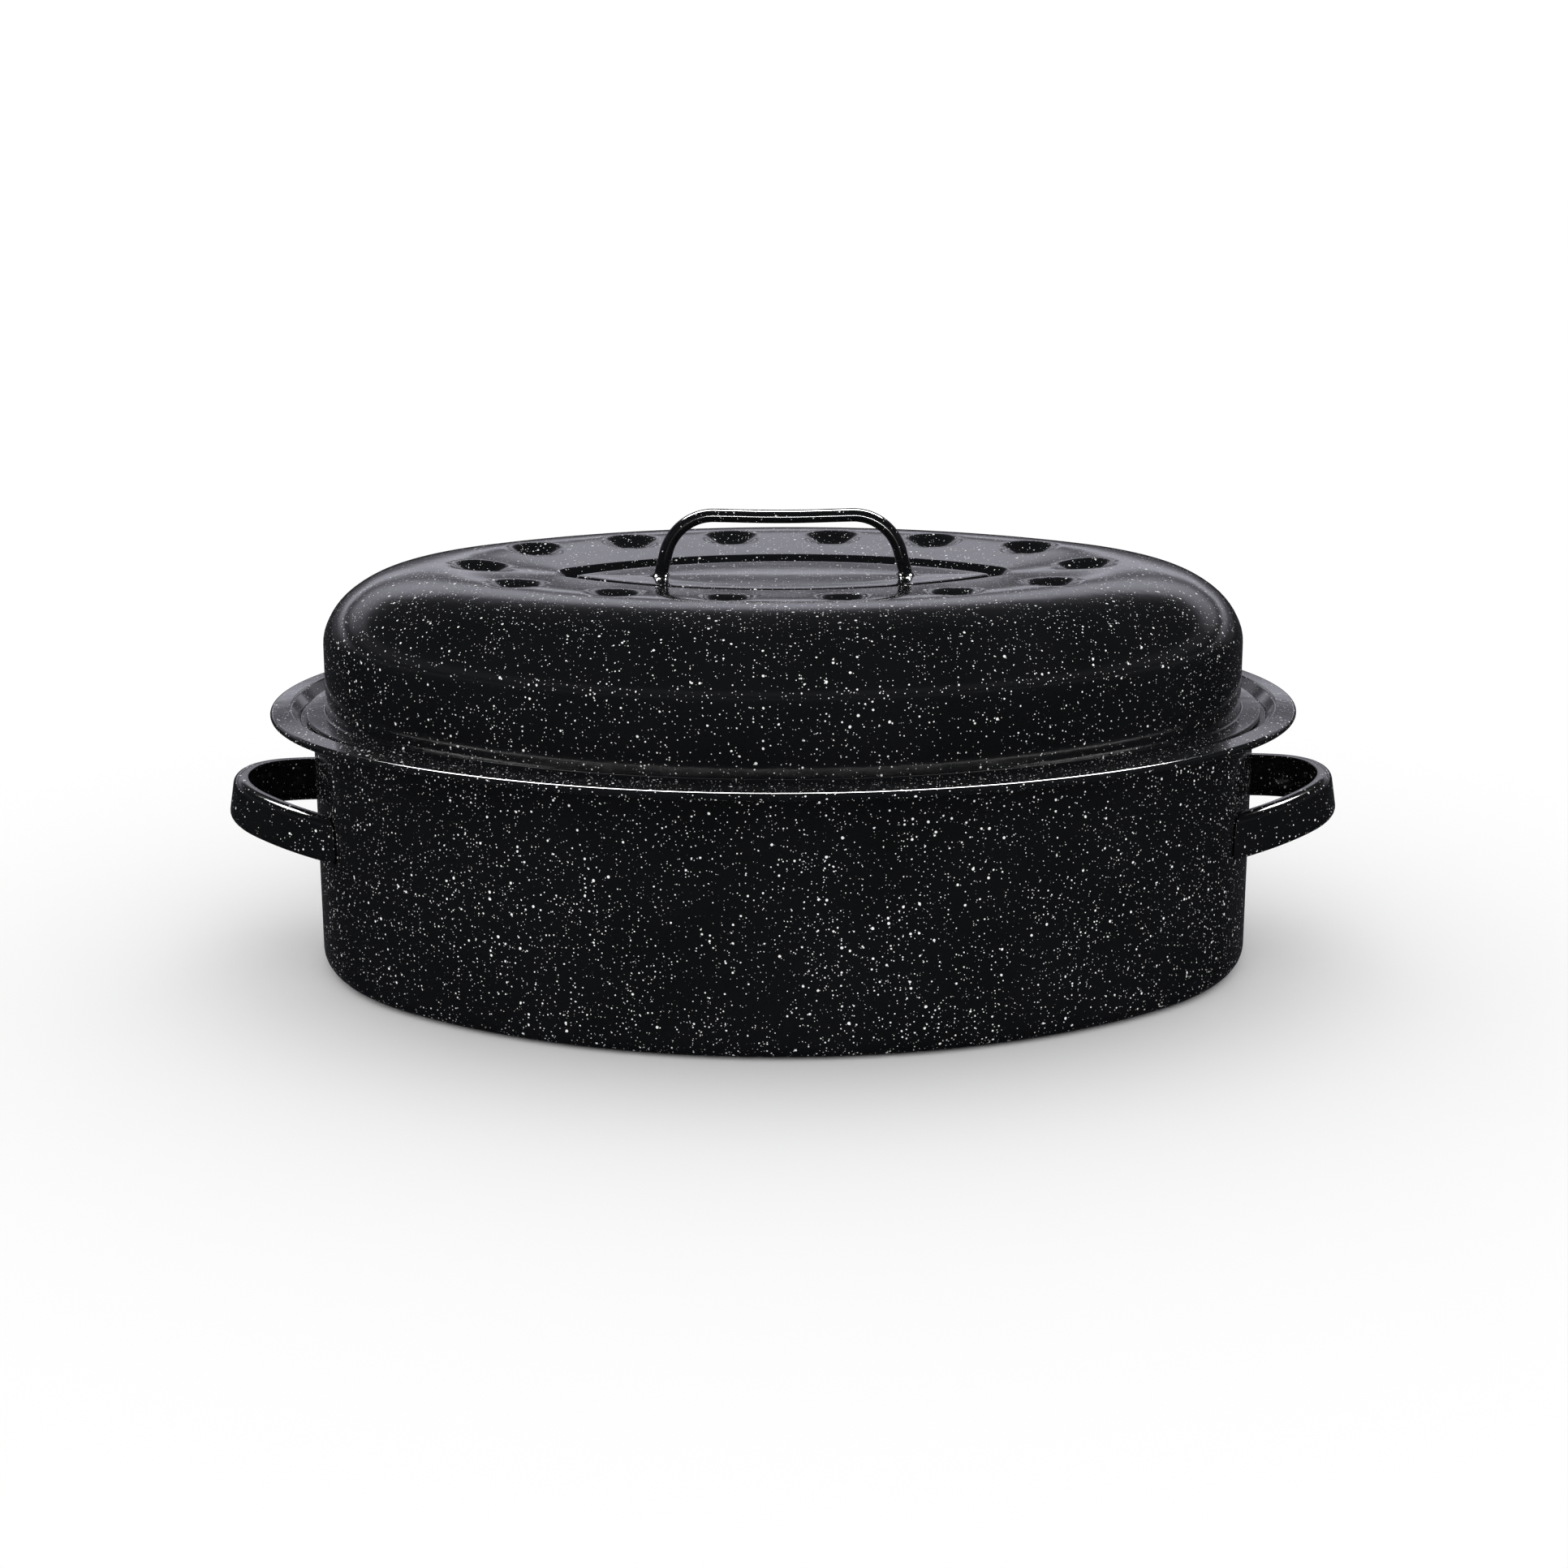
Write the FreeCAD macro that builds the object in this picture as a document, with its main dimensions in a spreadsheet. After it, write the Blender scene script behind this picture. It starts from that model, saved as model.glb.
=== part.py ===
"""Covered oval roaster in enamelled sheet steel, as a parametric FreeCAD document.

Frame: millimetres, +Z up, X along the length, origin on the base at the middle of the oval.
The plan of the pan is an oval of four tangent arcs: two small end arcs and two large side arcs.
Every rolled or pressed feature is a parallel offset of that oval, so each shell is one section
turned about the four arc centres. An offset is 0 on the outside of the pan wall, positive outwards.
"""
import FreeCAD, Part
import math
import os

import Sketcher

SIZES = {
    # plan of the pan wall
    "wall_half_length": 201.5,
    "wall_half_width": 148.5,
    "end_radius": 118.4,
    "sheet": 1.0,
    # pan section
    "heel_radius": 8.0,
    "wall_lean": 0.4,
    "ledge_height": 109.0,
    "ledge_reach": 4.9,
    "ledge_bend": 1.5,
    "rim_inner_reach": 8.8,
    "rim_reach": 17.8,
    "rim_height": 113.9,
    "rim_drop": 0.7,
    "rim_curl_radius": 1.6,
    "rim_curl_bottom": 109.8,
    "ledge_mitre": 0.48,
    # lid section
    "seat_gap": 0.3,
    "lid_wall_inset": 5.6,
    "lid_flange_reach": 3.0,
    "lid_flange_height": 111.9,
    "shoulder_base": 140.5,
    "shoulder_reach": 42.6,
    "shoulder_rise": 29.9,
    "shoulder_stop": 70.0,
    "crest_radius": 105.0,
    "crest_bend_end": 69.4,
    "crest_bend_height": 171.3,
    # groove round the raised panel of the lid
    "recess_edge": 104.5,
    "recess_edge_height": 168.0,
    "recess_run": 3.5,
    "recess_depth": 3.6,
    "groove_width": 3.5,
    "panel_edge_run": 3.0,
    "panel_height": 166.7,
    # dimples round the lid crest
    "dimple_row_radius": 201.3,
    "dimple_row_reach": 75.5,
    "dimple_end_reach": 128.9,
    "dimple_step": 13.1,
    "dimple_crest": 171.0,
    "dimple_width": 20.0,
    "dimple_depth": 3.6,
    # lid handle, a bent rod
    "rod_diameter": 5.75,
    "rod_top": 195.2,
    "rod_bend": 21.0,
    "rod_foot_reach": 52.3,
    "rod_lean": 14.5,
    "rod_weld_radius": 4.6,
    "rod_weld_height": 2.2,
    # side handles, a channel strap bent into a loop
    "strap_sheet": 1.2,
    "strap_height": 19.2,
    "strap_lip": 5.5,
    "strap_edge_radius": 3.8,
    "strap_root_reach": 187.0,
    "strap_root_height": 64.0,
    "strap_tilt": 9.3,
    "strap_loop": 52.5,
    "strap_tip_radius": 47.0,
    "strap_tip_angle": 45.4,
    "strap_leg_radius": 100.0,
    "strap_leg_end": 78.0,
    # feet of the side handles and their spot welds
    "foot_outer_end": 56.0,
    "foot_inner_end": 39.0,
    "foot_bottom": 57.6,
    "foot_height": 14.0,
    "spot_radius": 2.5,
    "spot_proud": 0.4,
    "spot_offset": 45.0,
    "spot_spacing": 7.0,
}

END = "sizes.end_radius"
CENTRE_X = "(sizes.wall_half_length - sizes.end_radius)"
SIDE = (
    "((" + CENTRE_X + "^2 + sizes.wall_half_width^2 - sizes.end_radius^2)"
    " / (2 * (sizes.wall_half_width - sizes.end_radius)))"
)
CENTRE_Y = "(sizes.wall_half_width - " + SIDE + ")"
END_SPAN = "(2 * atan2(-1 * " + CENTRE_Y + "; " + CENTRE_X + "))"
SIDE_SPAN = "(180 deg - " + END_SPAN + ")"
SHOULDER_CENTRE = "(-1 * sizes.lid_wall_inset - sizes.shoulder_reach)"
SHOULDER_STOP = "(1 deg * sizes.shoulder_stop)"

# two points closer than this, in mm, are one point
SAME_POINT = 0.001
# steps of the dimples from the middle of a row, and of a foot's two spot welds from its middle
ROW_STEPS = (-2.5, -1.5, -0.5, 0.5, 1.5, 2.5)
SPOT_STEPS = (-0.5, 0.5)

doc = FreeCAD.newDocument("oval_roaster")


def make_sizes():
    sheet = doc.addObject("Spreadsheet::Sheet", "sizes")
    for row, (name, number) in enumerate(SIZES.items(), start=1):
        sheet.set("A%d" % row, name)
        sheet.set("B%d" % row, str(number))
        sheet.setAlias("B%d" % row, name)
    doc.recompute()
    return sheet


sizes = make_sizes()


def value(expression):
    """The number that a sheet expression gives."""
    result = sizes.evalExpression(expression.replace("sizes.", ""))
    return float(getattr(result, "Value", result))


def origin_plane(body, role):
    return next(item for item in body.Origin.OriginFeatures if item.Role == role)


def attach(sketch, body, role, shift="0"):
    """Lay a sketch on one of its body's planes, its own origin moved along its first axis."""
    sketch.AttachmentSupport = [(origin_plane(body, role), "")]
    sketch.MapMode = "FlatFace"
    sketch.setExpression("AttachmentOffset.Base.x", shift)
    doc.recompute()


def fix_number(sketch, kind, target, expression):
    """Add one driving constraint and bind it to the sheet."""
    number = sketch.addConstraint(Sketcher.Constraint(kind, *target, value(expression)))
    sketch.setExpression("Constraints[%d]" % number, expression)


def fix_point(sketch, geometry, end, across, up):
    """Fix a point of an edge at two sheet expressions."""
    if across == "0":
        sketch.addConstraint(Sketcher.Constraint("PointOnObject", geometry, end, -2))
    else:
        fix_number(sketch, "DistanceX", (-1, 1, geometry, end), across)
    if up == "0":
        sketch.addConstraint(Sketcher.Constraint("PointOnObject", geometry, end, -1))
    else:
        fix_number(sketch, "DistanceY", (-1, 1, geometry, end), up)


def arc_curve(start, end, radius):
    """Arc from start to end; a positive radius bulges to the left of the way it runs."""
    half = (end - start).Length / 2
    left = FreeCAD.Vector(start.y - end.y, end.x - start.x, 0).normalize()
    side = 1 if radius > 0 else -1
    rise = abs(radius) - (radius ** 2 - half ** 2) ** 0.5
    return Part.Arc(start, (start + end) * 0.5 + left * (side * rise), end)


def ellipse_curve(start, end, across):
    """Arc of an ellipse with level and upright axes, centred level with its start."""
    half_width = start.x - across
    sweep = math.acos((end.x - across) / half_width)
    half_height = (end.y - start.y) / math.sin(sweep)
    centre = FreeCAD.Vector(across, start.y, 0)
    ellipse = Part.Ellipse(start, centre + FreeCAD.Vector(0, half_height, 0), centre)
    return Part.ArcOfEllipse(ellipse, 0, sweep)


def add_edge(sketch, start, end, shape):
    """Add one edge of an outline: "line", ("arc", radius, side) or ("ellipse", centre)."""
    if shape == "line":
        return sketch.addGeometry(Part.LineSegment(start, end))
    if shape[0] == "ellipse":
        return sketch.addGeometry(ellipse_curve(start, end, value(shape[1])))
    return sketch.addGeometry(arc_curve(start, end, shape[2] * value(shape[1])))


def draw_outline(sketch, corners, closed=True):
    """Draw and fully constrain an outline.

    Each corner is (across, up, edge to the next corner): "line", ("arc", radius, side) with
    side +1 or -1, or ("ellipse", centre) with level and upright axes and its centre level
    with the corner.
    """
    points = [FreeCAD.Vector(value(across), value(up), 0) for across, up, _ in corners]
    following = points[1:] + points[:1]
    count = len(corners) if closed else len(corners) - 1
    joints = []
    for index in range(count):
        edge = add_edge(sketch, points[index], following[index], corners[index][2])
        begins_at_start = sketch.getPoint(edge, 1).distanceToPoint(points[index]) < SAME_POINT
        joints.append((edge, 1, 2) if begins_at_start else (edge, 2, 1))
    for index, (edge, begin, finish) in enumerate(joints):
        across, up, shape = corners[index]
        fix_point(sketch, edge, begin, across, up)
        if shape[0] == "arc":
            fix_number(sketch, "Radius", (edge,), shape[1])
        if closed or index + 1 < count:
            after = joints[(index + 1) % count]
            sketch.addConstraint(Sketcher.Constraint("Coincident", edge, finish, after[0], after[1]))
    if not closed:
        edge, _, finish = joints[-1]
        fix_point(sketch, edge, finish, corners[-1][0], corners[-1][1])
    for (edge, _, _), (_, up, shape) in zip(joints, corners):
        if shape[0] == "ellipse":
            sketch.exposeInternalGeometry(edge)
            fix_point(sketch, edge, 3, shape[1], up)
            sketch.addConstraint(Sketcher.Constraint("Horizontal", sketch.GeometryCount - 4))
    doc.recompute()


def turn(body, name, sketch, span, mirror_role):
    """Turn a section through its arc, then mirror the sector to the far side of the oval."""
    sector = body.newObject("PartDesign::Revolution", name)
    sector.Profile = sketch
    sector.ReferenceAxis = (sketch, ["V_Axis"])
    sector.Midplane = True
    sector.setExpression("Angle", span)
    doc.recompute()
    twin = body.newObject("PartDesign::Mirrored", name + "_mirror")
    twin.Originals = [sector]
    twin.MirrorPlane = (origin_plane(body, mirror_role), [""])
    body.Tip = twin
    doc.recompute()


def from_axis(radius, offset):
    """Distance from the arc axis of an offset from the pan wall; None is the axis itself."""
    return "0" if offset is None else radius + " + (" + offset + ")"


def from_centre(radius, edge):
    """The edge with an ellipse's centre measured from the arc axis."""
    return ("ellipse", from_axis(radius, edge[1])) if edge[0] == "ellipse" else edge


def make_oval(name, section):
    """Turn one section about the four arc centres of the oval.

    The section's corners are (offset from the pan wall or None for the arc axis, height, edge).
    """
    body = doc.addObject("PartDesign::Body", name)
    arcs = (
        ("side", SIDE, CENTRE_Y, "YZ_Plane", SIDE_SPAN, "XZ_Plane"),
        ("end", END, CENTRE_X, "XZ_Plane", END_SPAN, "YZ_Plane"),
    )
    for label, radius, shift, plane, span, mirror in arcs:
        sketch = body.newObject("Sketcher::SketchObject", name + "_" + label + "_section")
        attach(sketch, body, plane, shift)
        corners = [(from_axis(radius, offset), height, from_centre(radius, edge))
                   for offset, height, edge in section]
        draw_outline(sketch, corners)
        turn(body, name + "_" + label, sketch, span, mirror)
    return body


def make_pan():
    """Drawn pan: flat base, rounded heel, wall, stepped ledge for the lid and a curled rim."""
    mitre = "sizes.sheet * sizes.ledge_mitre"
    section = [
        (None, "0", "line"),
        ("-1 * sizes.heel_radius - sizes.wall_lean", "0", ("arc", "sizes.heel_radius", -1)),
        ("-1 * sizes.wall_lean", "sizes.heel_radius", "line"),
        ("0", "sizes.ledge_height - sizes.sheet", "line"),
        ("sizes.ledge_reach + " + mitre, "sizes.ledge_height - sizes.sheet", "line"),
        ("sizes.rim_inner_reach + " + mitre, "sizes.rim_height - sizes.sheet", "line"),
        ("sizes.rim_reach - sizes.sheet",
         "sizes.rim_height - sizes.rim_drop - sizes.sheet", "line"),
        ("sizes.rim_reach - sizes.sheet", "sizes.rim_curl_bottom", "line"),
        ("sizes.rim_reach", "sizes.rim_curl_bottom", "line"),
        ("sizes.rim_reach", "sizes.rim_height - sizes.rim_drop - sizes.rim_curl_radius",
         ("arc", "sizes.rim_curl_radius", -1)),
        ("sizes.rim_reach - sizes.rim_curl_radius", "sizes.rim_height - sizes.rim_drop", "line"),
        ("sizes.rim_inner_reach", "sizes.rim_height", "line"),
        ("sizes.ledge_reach", "sizes.ledge_height", "line"),
        ("sizes.ledge_bend - sizes.sheet", "sizes.ledge_height",
         ("arc", "sizes.ledge_bend", -1)),
        ("-1 * sizes.sheet", "sizes.ledge_height - sizes.ledge_bend", "line"),
        ("-1 * sizes.wall_lean - sizes.sheet", "sizes.heel_radius",
         ("arc", "sizes.heel_radius - sizes.sheet", 1)),
        ("-1 * sizes.heel_radius - sizes.wall_lean", "sizes.sheet", "line"),
        (None, "sizes.sheet", "line"),
    ]
    return make_oval("pan_shell", section)


def make_lid_solid(name, inset):
    """Solid dome that the lid sheet wraps; inset moves every face inwards by one thickness."""
    base = "sizes.ledge_height + sizes.seat_gap"
    bottom = base + " - 2 * " + inset
    wall_step = "(" + inset + " * tan(atan2(sizes.recess_depth; sizes.recess_run) / 2))"
    floor = "(sizes.recess_edge_height - sizes.recess_depth)"
    rise = "(sizes.panel_height - " + floor + ")"
    panel_step = "(" + inset + " * tan(atan2(" + rise + "; sizes.panel_edge_run) / 2))"
    edge = "-1 * sizes.recess_edge"
    groove_start = edge + " - sizes.recess_run"
    groove_end = groove_start + " - sizes.groove_width"
    flange = "sizes.lid_flange_height - " + inset
    shoulder = "-1 * sizes.lid_wall_inset - " + inset
    section = [
        (None, bottom, "line"),
        ("sizes.lid_flange_reach - " + inset, bottom, "line"),
        ("sizes.lid_flange_reach - " + inset, flange, "line"),
        (shoulder, flange, "line"),
        (shoulder, "sizes.shoulder_base", ("ellipse", SHOULDER_CENTRE)),
        (SHOULDER_CENTRE + " + (sizes.shoulder_reach - " + inset + ") * cos" + SHOULDER_STOP,
         "sizes.shoulder_base + (sizes.shoulder_rise - " + inset + ") * sin" + SHOULDER_STOP,
         ("arc", "sizes.crest_radius - " + inset, -1)),
        ("-1 * sizes.crest_bend_end", "sizes.crest_bend_height - " + inset, "line"),
        (edge + " + " + wall_step, "sizes.recess_edge_height - " + inset, "line"),
        (groove_start + " + " + wall_step, floor + " - " + inset, "line"),
        (groove_end + " - " + panel_step, floor + " - " + inset, "line"),
        (groove_end + " - sizes.panel_edge_run - " + panel_step,
         "sizes.panel_height - " + inset, "line"),
        (None, "sizes.panel_height - " + inset, "line"),
    ]
    return make_oval(name, section)


def primitive(kind, name, label, bindings):
    """A Part object with its properties bound to sheet expressions."""
    item = doc.addObject(kind, name)
    item.Label = label
    for target, expression in bindings.items():
        item.setExpression(target, expression)
    return item


def combine(kind, name, first, second):
    """Cut or common of two objects."""
    item = doc.addObject("Part::" + kind, name)
    item.Base = first
    item.Tool = second
    return item


def fuse(name, pieces):
    item = doc.addObject("Part::MultiFuse", name)
    item.Shapes = pieces
    return item


def dimple_places():
    """Sheet expressions for the plan position of each dimple: two rows and one at each end."""
    places = []
    for side in (1, -1):
        for step in ROW_STEPS:
            angle = "(%s deg * sizes.dimple_step)" % step
            fall = "sizes.dimple_row_radius * (1 - cos" + angle + ")"
            places.append(("sizes.dimple_row_radius * sin" + angle,
                           "%d * (sizes.dimple_row_reach - %s)" % (side, fall)))
        places.append(("%d * sizes.dimple_end_reach" % side, "0"))
    return places


def make_dies(name, inset):
    """Round dies that press the dimples, all in one object."""
    radius = "((sizes.dimple_width^2 / 4 + sizes.dimple_depth^2) / (2 * sizes.dimple_depth))"
    dies = []
    for number, (across, along) in enumerate(dimple_places(), start=1):
        die = primitive("Part::Sphere", "%s_%d" % (name, number), "%s %d" % (name, number), {
            "Radius": radius + " + " + inset,
            "Placement.Base.x": across,
            "Placement.Base.y": along,
            "Placement.Base.z": "sizes.dimple_crest - sizes.dimple_depth + " + radius,
        })
        dies.append(die)
    return fuse(name, dies)


def make_lid():
    """Pressed lid: flange, wall, rounded shoulder, dimpled crest and recessed panel."""
    outside = combine("Cut", "lid_pressed_outside",
                      make_lid_solid("lid_outside", "0"), make_dies("outer_dies", "0"))
    inside = combine("Cut", "lid_pressed_inside",
                     make_lid_solid("lid_inside", "sizes.sheet"),
                     make_dies("inner_dies", "sizes.sheet"))
    return combine("Cut", "lid_shell", outside, inside), outside


def make_pipe(name, path_role, path, section_role, section_shift, section, mirror_role):
    """Sweep a section along half a path and mirror the other half."""
    body = doc.addObject("PartDesign::Body", name)
    route = body.newObject("Sketcher::SketchObject", name + "_path")
    attach(route, body, path_role)
    draw_outline(route, path, closed=False)
    profile = body.newObject("Sketcher::SketchObject", name + "_section")
    attach(profile, body, section_role, section_shift)
    if callable(section):
        section(profile)
    else:
        draw_outline(profile, section)
    sweep = body.newObject("PartDesign::AdditivePipe", name + "_sweep")
    sweep.Profile = profile
    sweep.Spine = route
    doc.recompute()
    twin = body.newObject("PartDesign::Mirrored", name + "_mirror")
    twin.Originals = [sweep]
    twin.MirrorPlane = (origin_plane(body, mirror_role), [""])
    body.Tip = twin
    doc.recompute()
    return body


def make_lid_handle(dome):
    """Round rod bent into a flat-topped arch, and the weld fillets round its two feet."""
    top = "(sizes.rod_top - sizes.rod_diameter / 2)"
    drop = "(" + top + " - sizes.rod_bend * (1 - sin(1 deg * sizes.rod_lean)))"
    lean = "tan(1 deg * sizes.rod_lean)"
    knee = "(sizes.rod_foot_reach - (" + drop + " - sizes.panel_height) * " + lean + ")"
    below = "(sizes.panel_height - sizes.rod_diameter)"
    bend_start = "(" + knee + " - sizes.rod_bend * cos(1 deg * sizes.rod_lean))"
    path = [
        ("0", top, "line"),
        (bend_start, top, ("arc", "sizes.rod_bend", 1)),
        (knee, drop, "line"),
        (knee + " + (" + drop + " - " + below + ") * " + lean, below, None),
    ]

    def circle(sketch):
        centre = FreeCAD.Vector(0, value(top), 0)
        up = FreeCAD.Vector(0, 0, 1)
        sketch.addGeometry(Part.Circle(centre, up, value("sizes.rod_diameter / 2")))
        fix_number(sketch, "Radius", (0,), "sizes.rod_diameter / 2")
        fix_point(sketch, 0, 3, "0", top)
        doc.recompute()

    bend = make_pipe("rod_bend", "XZ_Plane", path, "YZ_Plane", "0", circle, "YZ_Plane")
    beads = [
        primitive("Part::Cone", "rod_bead_%d" % number, "rod bead %d" % number, {
            "Radius1": "sizes.rod_weld_radius",
            "Radius2": "sizes.rod_diameter / 2",
            "Height": "sizes.rod_weld_height",
            "Placement.Base.x": "%d * sizes.rod_foot_reach" % side,
            "Placement.Base.z": "sizes.panel_height",
        })
        for number, side in enumerate((-1, 1), start=1)
    ]
    handle = combine("Cut", "lid_handle", bend, dome)
    welds = combine("Cut", "lid_handle_welds", fuse("rod_beads", beads), bend)
    return handle, welds


def make_wall_block(name, outset):
    """Solid that fills the pan wall's outside, for trimming what stands on it."""
    section = [
        (None, "sizes.heel_radius", "line"),
        (outset + " - sizes.wall_lean", "sizes.heel_radius", "line"),
        (outset, "sizes.ledge_height - sizes.sheet", "line"),
        (None, "sizes.ledge_height - sizes.sheet", "line"),
    ]
    return make_oval(name, section)


def make_strap():
    """Channel strap swept round the loop of one side handle, tilted up towards its tip."""
    half = "sizes.strap_height / 2"
    web = "-1 * sizes.strap_sheet"
    lip = "-1 * sizes.strap_lip"
    round_end = "-1 * sizes.strap_edge_radius"
    outer_arc = ("arc", "sizes.strap_edge_radius", -1)
    inner_arc = ("arc", "sizes.strap_edge_radius - sizes.strap_sheet", 1)
    flank = "(" + half + " - sizes.strap_edge_radius)"
    under = "(" + half + " - sizes.strap_sheet)"
    tip = "sizes.strap_loop"
    section = [
        ("0", "-1 * " + flank, "line"),
        ("0", flank, outer_arc),
        (round_end, half, "line"),
        (lip, half, "line"),
        (lip, under, "line"),
        (round_end, under, inner_arc),
        (web, flank, "line"),
        (web, "-1 * " + flank, inner_arc),
        (round_end, "-1 * " + under, "line"),
        (lip, "-1 * " + under, "line"),
        (lip, "-1 * " + half, "line"),
        (round_end, "-1 * " + half, outer_arc),
    ]
    bend_x = "(" + tip + " - sizes.strap_tip_radius * (1 - cos(1 deg * sizes.strap_tip_angle)))"
    bend_y = "(sizes.strap_tip_radius * sin(1 deg * sizes.strap_tip_angle))"
    leg = "sizes.strap_leg_radius"
    end_x = (bend_x + " - " + leg + " * (cos(1 deg * sizes.strap_tip_angle)"
             " - cos(1 deg * sizes.strap_leg_end))")
    end_y = (bend_y + " + " + leg + " * (sin(1 deg * sizes.strap_leg_end)"
             " - sin(1 deg * sizes.strap_tip_angle))")
    path = [
        (tip, "0", ("arc", "sizes.strap_tip_radius", -1)),
        (bend_x, bend_y, ("arc", leg, -1)),
        (end_x, end_y, None),
    ]
    body = make_pipe("strap", "XY_Plane", path, "XZ_Plane", tip, section, "XZ_Plane")
    body.setExpression("Placement.Base.x", "sizes.strap_root_reach")
    body.setExpression("Placement.Base.z", "sizes.strap_root_height")
    body.Placement = FreeCAD.Placement(
        FreeCAD.Vector(), FreeCAD.Rotation(FreeCAD.Vector(0, -1, 0), value("sizes.strap_tilt")))
    body.setExpression("Placement.Rotation.Angle", "sizes.strap_tilt")
    doc.recompute()
    return body


def make_side_handle(wall):
    """Strap trimmed to the wall, with two feet turned along it and their spot welds."""
    boxes = []
    for number, low in enumerate(("sizes.foot_inner_end", "-1 * sizes.foot_outer_end"), start=1):
        boxes.append(primitive("Part::Box", "foot_box_%d" % number, "foot box %d" % number, {
            "Length": "sizes.wall_half_length",
            "Width": "sizes.foot_outer_end - sizes.foot_inner_end",
            "Height": "sizes.foot_height",
            "Placement.Base.y": low,
            "Placement.Base.z": "sizes.foot_bottom",
        }))
    feet = combine("Common", "feet",
                   make_wall_block("foot_skin", "sizes.strap_sheet"), fuse("foot_boxes", boxes))
    loop = combine("Cut", "strap_on_wall", fuse("strap_and_feet", [make_strap(), feet]), wall)

    angle = "asin(sizes.spot_offset / sizes.end_radius)"
    spots = []
    for side in (1, -1):
        for step in SPOT_STEPS:
            number = len(spots) + 1
            spot = primitive("Part::Cylinder", "spot_%d" % number, "spot %d" % number, {
                "Radius": "sizes.spot_radius",
                "Height": "2 * sizes.strap_sheet + sizes.spot_proud",
            })
            spot.Placement = FreeCAD.Placement(
                FreeCAD.Vector(),
                FreeCAD.Rotation(FreeCAD.Vector(0, 0, 1),
                                 FreeCAD.Vector(1, side * value("tan(" + angle + ")"), 0)))
            reach = "(sizes.end_radius - sizes.strap_sheet)"
            spot.setExpression("Placement.Base.x",
                               CENTRE_X + " + " + reach + " * cos(" + angle + ")")
            spot.setExpression("Placement.Base.y",
                               "%d * %s * sin(%s)" % (side, reach, angle))
            spot.setExpression(
                "Placement.Base.z",
                "sizes.foot_bottom + sizes.foot_height / 2 + %s * sizes.spot_spacing" % step)
            spots.append(spot)
    all_spots = fuse("spots", spots)
    handle = combine("Cut", "right_handle", loop, all_spots)
    welds = combine("Cut", "right_handle_welds", all_spots, wall)
    return handle, welds


def mirror_left(item, name):
    """The same piece at the other end of the pan."""
    twin = doc.addObject("Part::Mirroring", name)
    twin.Source = item
    twin.Normal = FreeCAD.Vector(1, 0, 0)
    return twin


def build():
    lid, dome = make_lid()
    lid_handle, lid_handle_welds = make_lid_handle(dome)
    wall = make_wall_block("wall_block", "0")
    right_handle, right_handle_welds = make_side_handle(wall)
    return {
        "pan_shell": make_pan(),
        "lid_shell": lid,
        "lid_handle": lid_handle,
        "lid_handle_welds": lid_handle_welds,
        "right_handle": right_handle,
        "right_handle_welds": right_handle_welds,
        "left_handle": mirror_left(right_handle, "left_handle"),
        "left_handle_welds": mirror_left(right_handle_welds, "left_handle_welds"),
    }


def check(parts):
    """Stop before anything is written if any object failed or any piece isn't sound."""
    for item in doc.Objects:
        if "Invalid" in item.State or "Error" in item.State:
            raise RuntimeError(item.Name + ": " + item.getStatusString())
        if item.TypeId == "Sketcher::SketchObject" and not item.FullyConstrained:
            raise RuntimeError(item.Name + " is not fully constrained")
    for name, item in parts.items():
        if item.Shape.isNull() or not item.Shape.isValid() or not item.Shape.Solids:
            raise RuntimeError(name + " is not a valid solid")


def export(parts):
    os.makedirs("parts", exist_ok=True)
    for name, item in parts.items():
        item.Label = name
        item.Shape.exportStep(os.path.join("parts", name + ".step"))
        box = item.Shape.optimalBoundingBox()
        print("%-20s %d solids, %8.0f mm3, X %.1f..%.1f, Y %.1f..%.1f, Z %.1f..%.1f" % (
            name, len(item.Shape.Solids), item.Shape.Volume,
            box.XMin, box.XMax, box.YMin, box.YMax, box.ZMin, box.ZMax))


parts = build()
doc.recompute()
check(parts)
export(parts)
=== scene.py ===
"""Covered oval roaster in speckled black enamel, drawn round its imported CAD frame.

Metres, +Z up, X along the length. The pan and the lid are pressed sheets: each is one section,
laid out from the pan wall, carried round an oval of four tangent arcs.
"""

import math

import bpy
from mathutils import Euler, Matrix, Vector


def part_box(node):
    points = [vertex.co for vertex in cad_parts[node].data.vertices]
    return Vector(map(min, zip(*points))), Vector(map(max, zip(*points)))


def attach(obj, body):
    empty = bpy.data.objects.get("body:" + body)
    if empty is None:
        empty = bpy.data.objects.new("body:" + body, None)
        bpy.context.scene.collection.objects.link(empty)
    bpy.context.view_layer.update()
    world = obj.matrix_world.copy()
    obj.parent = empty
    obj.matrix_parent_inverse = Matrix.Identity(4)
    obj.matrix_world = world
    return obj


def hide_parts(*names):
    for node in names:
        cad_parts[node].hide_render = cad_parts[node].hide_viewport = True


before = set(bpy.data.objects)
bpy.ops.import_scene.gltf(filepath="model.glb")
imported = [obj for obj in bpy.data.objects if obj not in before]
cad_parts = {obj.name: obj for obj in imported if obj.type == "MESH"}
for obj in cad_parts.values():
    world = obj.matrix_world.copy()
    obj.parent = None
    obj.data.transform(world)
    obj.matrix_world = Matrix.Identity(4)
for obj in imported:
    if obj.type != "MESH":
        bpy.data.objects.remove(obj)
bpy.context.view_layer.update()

MM = 0.001

# plan of the pan wall
RIM_REACH = 17.8 * MM
END_RADIUS = 118.4 * MM

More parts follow.
